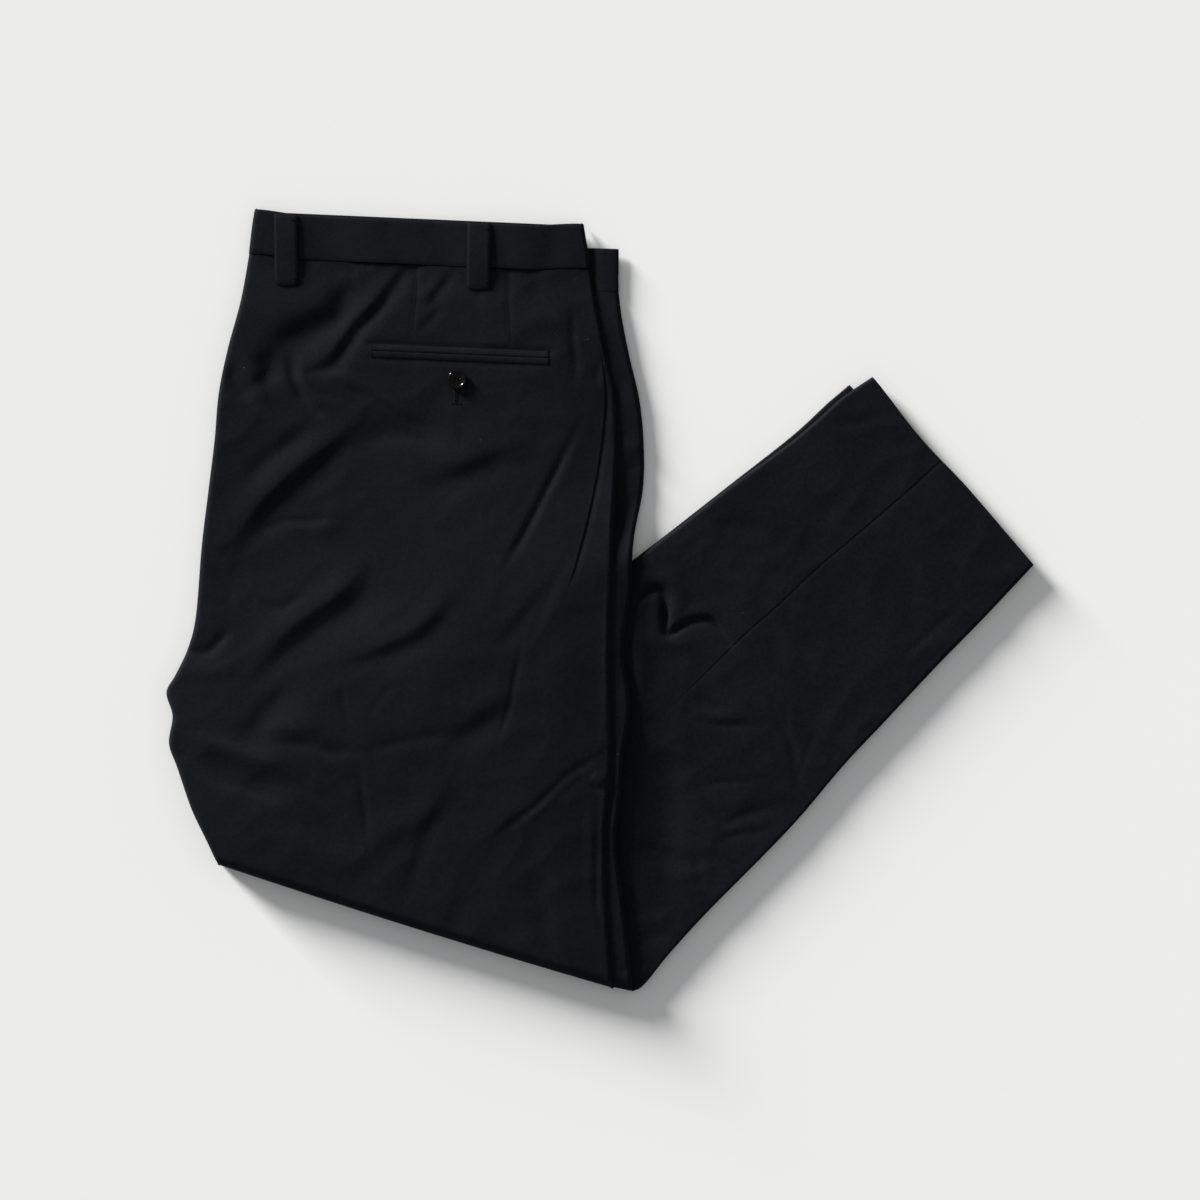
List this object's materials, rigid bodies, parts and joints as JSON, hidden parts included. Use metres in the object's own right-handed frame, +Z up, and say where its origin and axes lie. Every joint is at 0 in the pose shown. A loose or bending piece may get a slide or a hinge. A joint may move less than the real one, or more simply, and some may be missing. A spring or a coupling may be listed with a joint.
{
  "type": "folded dress trousers",
  "caption": "Dark dress trousers folded in half and at the knee, lying flat, with waistband, belt loops and a buttoned back pocket.",
  "frame": {"origin": "on the surface the trousers rest on, under the middle of the folded outline", "axes": "+Z up from the surface, +Y from the knee fold to the waist, +X from the seat fold to the hems"},
  "size_m": [0.6664, 0.6006, 0.0198],
  "materials": {
    "suiting": "fine worsted, near black, soft sheen",
    "inner_layers": "matte dark cloth",
    "horn": "polished dark horn",
    "thread": "matte thread"
  },
  "bodies": {
    "root": {"waistband_near": "suiting", "waistband_far": "suiting", "waist_inner_layers": "inner_layers", "back_panel_near": "suiting", "front_panel_near": "suiting", "front_panel_far": "suiting", "thigh_inner_layers": "inner_layers", "shin_back_panel": "suiting", "shin_front_panel": "suiting", "shin_inner_layers": "inner_layers", "shin_under_leg": "suiting", "pocket_welt_upper": "suiting", "pocket_welt_lower": "suiting", "belt_loop_back": "suiting", "belt_loop_side": "suiting", "pocket_button": "horn"}
  },
  "joints": []
}
